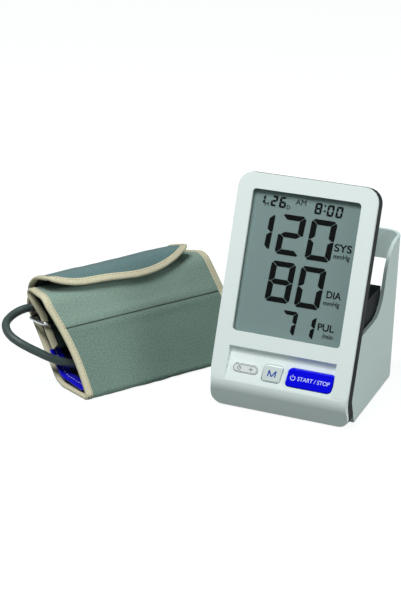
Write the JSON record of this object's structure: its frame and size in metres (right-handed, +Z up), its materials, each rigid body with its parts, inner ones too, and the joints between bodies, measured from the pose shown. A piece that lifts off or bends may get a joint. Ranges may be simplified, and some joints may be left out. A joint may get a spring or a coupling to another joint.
{
  "type": "upper-arm blood pressure monitor",
  "caption": "Desktop blood pressure monitor with a sloping face, large display and push buttons, a storage stand behind it, and its folded arm cuff with air hose and plug.",
  "frame": {"origin": "on the table, under the middle of the monitor: halfway across, and halfway between the face's table line and the back of the stand", "axes": "+Z up, the sloping face looks along -Y, +X to the right as its user sees it; the folded cuff stands to the left, at -X"},
  "size_m": [0.2878, 0.1751, 0.1763],
  "materials": {
    "white_case": "white moulded plastic, fine satin gloss",
    "black_case": "near-black moulded plastic",
    "stand_grey": "light grey-green moulded plastic",
    "lens": "clear window",
    "lcd": "grey-green display glass",
    "blue_button": "blue moulded plastic with a pale print",
    "pale_button": "pale translucent moulded plastic",
    "white_key": "white moulded plastic with a grey print",
    "board": "green circuit board",
    "chip": "black moulded chips",
    "zebra": "pink elastomer strip",
    "metal": "plated steel",
    "inner_plastic": "pale inner moulding",
    "dark_inner": "dark inner moulding",
    "cell": "wrapped dry cell",
    "rubber": "black rubber",
    "cover_cloth": "grey-green woven nylon",
    "binding_cloth": "beige woven binding tape",
    "blue_cloth": "smooth blue coated cloth",
    "bladder_sheet": "thin grey-green sheet",
    "hook_tape": "hook and loop tape",
    "hose": "dark grey-green flexible tube"
  },
  "bodies": {
    "monitor": {"front_housing": "white_case", "rear_housing": "black_case", "storage_stand": "stand_grey", "display_lens": "lens", "display_panel": "lcd", "display_frame": "inner_plastic", "display_connector": "zebra", "main_board": "board", "board_chips": "chip", "key_switches": "chip", "pump_motor": "metal", "pump_head": "inner_plastic", "pump_mount": "dark_inner", "air_manifold": "inner_plastic", "release_valve": "metal", "bleed_valve": "inner_plastic", "pressure_sensor": "chip", "air_line": "bladder_sheet", "air_socket": "dark_inner", "power_socket": "dark_inner", "buzzer": "chip", "batteries": "cell", "battery_springs": "metal", "battery_contacts": "metal", "housing_screws": "metal", "board_screws": "metal", "stand_screws": "metal", "rubber_feet": "rubber"},
    "start_button": {"start_stop_button": "blue_button"},
    "memory_key": {"memory_button": "pale_button"},
    "clock_key": {"clock_rocker": "white_key"},
    "battery_door": {"battery_cover": "black_case"},
    "cuff": {"cuff_cover": "cover_cloth", "cuff_binding": "binding_cloth", "cuff_bladder": "bladder_sheet", "cuff_lining": "blue_cloth", "cuff_hook_patch": "hook_tape", "cuff_ring": "metal", "cuff_ring_loop": "binding_cloth", "hose_nipple": "dark_inner", "air_hose": "hose", "air_plug": "dark_inner"}
  },
  "joints": [
    {"name": "start_press", "type": "slide", "parent": "monitor", "child": "start_button", "axis": [0, 0.9397, -0.342], "range_m": [0, 0.0008], "stiffness_N_per_m": 600},
    {"name": "memory_press", "type": "slide", "parent": "monitor", "child": "memory_key", "axis": [0, 0.9397, -0.342], "range_m": [0, 0.0008], "stiffness_N_per_m": 500},
    {"name": "clock_tilt", "type": "hinge", "parent": "monitor", "child": "clock_key", "pos_m": [-0.0281, -0.04917, 0.03343], "axis": [0, 0.342, 0.9397], "range_deg": [-2.3, 2.3], "stiffness_Nm_per_rad": 0.3},
    {"name": "battery_door_slide", "type": "slide", "parent": "monitor", "child": "battery_door", "axis": [0, 0, 1], "range_m": [0, 0.085]},
    {"name": "cuff_lift", "type": "slide", "parent": "monitor", "child": "cuff", "axis": [0, 0, 1], "range_m": [0, 0.25]}
  ]
}
